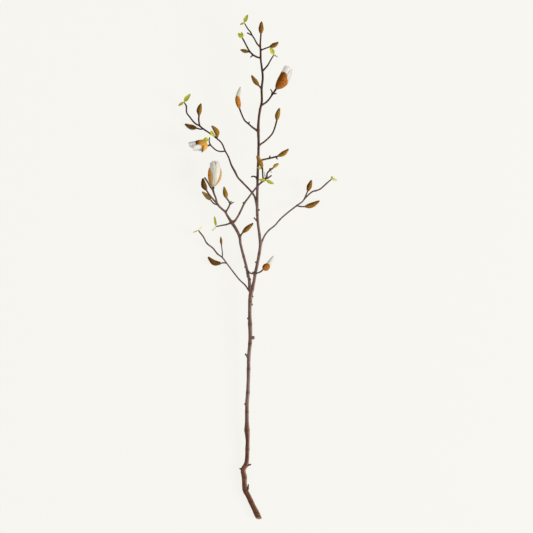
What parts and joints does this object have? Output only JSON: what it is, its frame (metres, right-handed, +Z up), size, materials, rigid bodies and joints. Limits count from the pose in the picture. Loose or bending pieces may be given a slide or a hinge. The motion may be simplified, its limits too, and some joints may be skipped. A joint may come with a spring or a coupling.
{
  "type": "magnolia branch",
  "caption": "Cut magnolia branch lying down: woody stem and shoots with closed furry buds, opening blossoms and young leaves.",
  "frame": {"origin": "on the surface that the branch lies on, under the middle of its outline", "axes": "+Y from the cut end to the top of the branch, +X to its right seen from above, +Z up from the surface"},
  "size_m": [0.4096, 1.2995, 0.1141],
  "materials": {
    "bark": "dull mauve-brown bark with pale lenticels and darker rings",
    "bud": "dense silky hair, olive gold at the rim, dark brown in the middle",
    "bract": "thin russet scale with short golden down",
    "petal": "soft waxy white with a cream foot",
    "leaf": "young yellow-green, satin, with fine veins"
  },
  "bodies": {
    "root": {"main_stem": "bark", "left_limb": "bark", "lower_left_shoot": "bark", "right_shoot": "bark", "crossing_shoot": "bark", "upper_left_shoot": "bark", "loop_shoot": "bark", "top_shoot": "bark", "top_left_shoot": "bark", "leader": "bark", "upper_right_stalk": "bark", "upper_left_stalk": "bark", "low_bud_stalk": "bark", "level_bud_stalk": "bark", "lower_stalk": "bark", "closed_bud_01": "bud", "closed_bud_02": "bud", "closed_bud_03": "bud", "closed_bud_04": "bud", "closed_bud_05": "bud", "closed_bud_06": "bud", "closed_bud_07": "bud", "closed_bud_08": "bud", "closed_bud_09": "bud", "closed_bud_10": "bud", "closed_bud_11": "bud", "closed_bud_12": "bud", "closed_bud_13": "bud", "closed_bud_14": "bud", "closed_bud_15": "bud", "closed_bud_16": "bud", "closed_bud_17": "bud", "closed_bud_18": "bud", "closed_bud_19": "bud", "upper_right_blossom_bract_left": "bract", "upper_right_blossom_bract_right": "bract", "upper_right_blossom_petal_left": "petal", "upper_right_blossom_petal_right": "petal", "upper_left_blossom_bract": "bract", "upper_left_blossom_petal": "petal", "large_blossom_bract_left": "bract", "large_blossom_bract_right": "bract", "large_blossom_petal_left": "petal", "large_blossom_petal_right": "petal", "large_blossom_petal_back": "petal", "split_blossom_bract_upper": "bract", "split_blossom_bract_lower": "bract", "split_blossom_petal_upper": "petal", "split_blossom_petal_lower": "petal", "lower_blossom_bract": "bract", "lower_blossom_petal": "petal", "top_leaves": "leaf", "top_left_leaf": "leaf", "leaf_shoot_leaves": "leaf", "upper_left_leaves": "leaf", "bright_leaf": "leaf", "loop_leaf": "leaf", "cluster_leaves": "leaf", "right_leaves": "leaf", "side_leaves": "leaf"}
  },
  "joints": []
}
